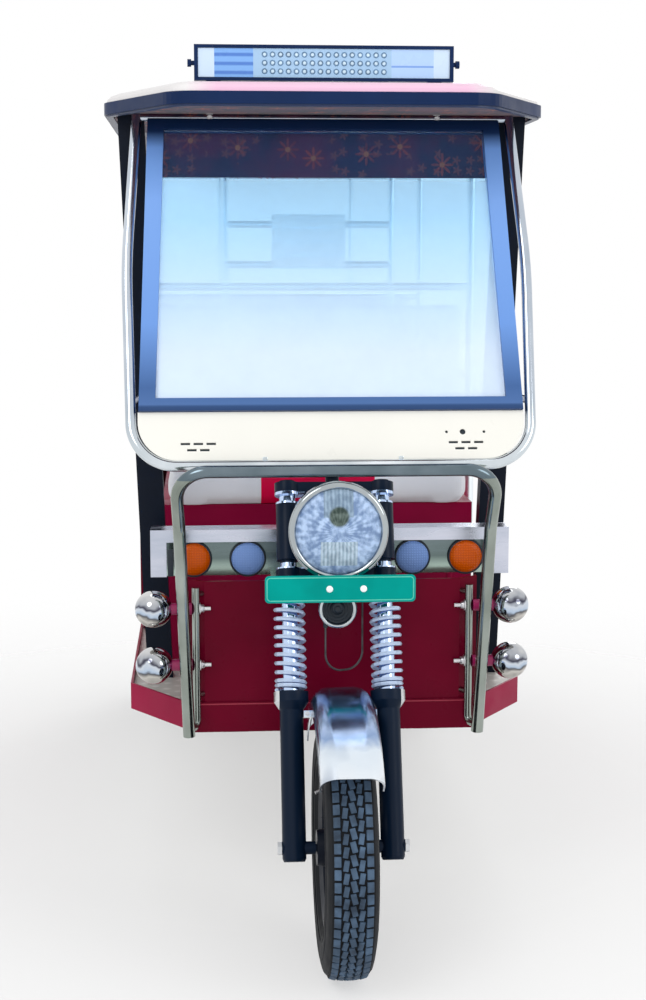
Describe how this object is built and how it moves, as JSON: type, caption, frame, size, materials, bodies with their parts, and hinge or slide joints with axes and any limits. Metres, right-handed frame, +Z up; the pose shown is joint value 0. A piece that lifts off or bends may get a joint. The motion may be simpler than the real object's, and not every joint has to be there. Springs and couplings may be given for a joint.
{
  "type": "auto rickshaw",
  "caption": "Electric three-wheeled passenger cab: raked windscreen in a tube hoop, sprung front fork, open sides under a long roof, facing benches and a driven rear axle.",
  "frame": {"origin": "on the ground under the middle of the vehicle", "axes": "+Z up, front of the vehicle towards -Y, the driver's left towards +X"},
  "size_m": [0.926, 2.69, 1.813],
  "materials": {
    "black_paint": "gloss black paint",
    "maroon_paint": "gloss deep red paint",
    "cream_paint": "gloss cream paint",
    "roof_skin": "satin off-white cover",
    "navy_trim": "satin dark navy",
    "liner_cloth": "printed cloth, dark red with flowers",
    "board_lens": "pale blue lens",
    "stainless": "polished stainless steel",
    "chrome": "bright chrome",
    "gasket_rubber": "black rubber with a blue cast",
    "screen_glass": "tinted clear glass",
    "lamp_lens": "orange outer and clear inner lenses",
    "lamp_glass": "clear fluted glass",
    "tail_lens": "red lens",
    "red_panel": "red paint",
    "seat_cover": "white cover with a red middle",
    "battery_case": "black case",
    "axle_iron": "dark grey",
    "motor_alloy": "cast alloy",
    "spring_steel": "white coated spring steel",
    "horn_plastic": "black",
    "plate_paint": "green, blank",
    "tyre": "black rubber",
    "rim_paint": "black paint"
  },
  "bodies": {
    "body": {"chassis": "black_paint", "floor": "maroon_paint", "floor_edge": "maroon_paint", "front_panel": "maroon_paint", "light_bar": "stainless", "front_lamps": "lamp_lens", "front_guard": "stainless", "guard_balls": "chrome", "windscreen_hoop": "stainless", "windscreen_gasket": "gasket_rubber", "windscreen_glass": "screen_glass", "cowl": "cream_paint", "front_posts": "black_paint", "partition_frame": "stainless", "rear_frame": "stainless", "side_rails": "stainless", "roof": "roof_skin", "roof_trim": "navy_trim", "roof_liner": "liner_cloth", "light_board": "navy_trim", "light_board_face": "board_lens", "front_seat_box": "red_panel", "driver_seat": "seat_cover", "passenger_seats": "seat_cover", "rear_seat_box": "red_panel", "battery_pack": "battery_case", "quarter_panels": "maroon_paint", "rear_panel": "maroon_paint", "tail_lamps": "tail_lens", "rear_bumper": "stainless", "rear_axle": "axle_iron", "motor": "motor_alloy", "foot_pedal": "black_paint"},
    "steering": {"fork_crown": "black_paint", "fork_sliders": "black_paint", "fork_springs": "spring_steel", "handlebar": "black_paint", "headlamp_shell": "chrome", "headlamp_lens": "lamp_glass", "horn": "horn_plastic", "horn_lead": "horn_plastic", "number_plate": "plate_paint", "front_mudguard": "chrome"},
    "front_wheel": {"front_tyre": "tyre", "front_rim": "rim_paint"},
    "rear_wheel_left": {"rear_tyre_left": "tyre", "rear_rim_left": "rim_paint"},
    "rear_wheel_right": {"rear_tyre_right": "tyre", "rear_rim_right": "rim_paint"}
  },
  "joints": [
    {"name": "steer", "type": "hinge", "parent": "body", "child": "steering", "pos_m": [0, -1.05549, 0.23137], "axis": [0, 0.3584, 0.9336], "range_deg": [-35, 35]},
    {"name": "front_wheel_spin", "type": "hinge", "parent": "steering", "child": "front_wheel", "pos_m": [0, -1.0975, 0.2475], "axis": [1, 0, 0], "continuous": true},
    {"name": "rear_wheel_left_spin", "type": "hinge", "parent": "body", "child": "rear_wheel_left", "pos_m": [0.368, 0.9825, 0.2475], "axis": [1, 0, 0], "continuous": true},
    {"name": "rear_wheel_right_spin", "type": "hinge", "parent": "body", "child": "rear_wheel_right", "pos_m": [-0.368, 0.9825, 0.2475], "axis": [1, 0, 0], "continuous": true}
  ]
}
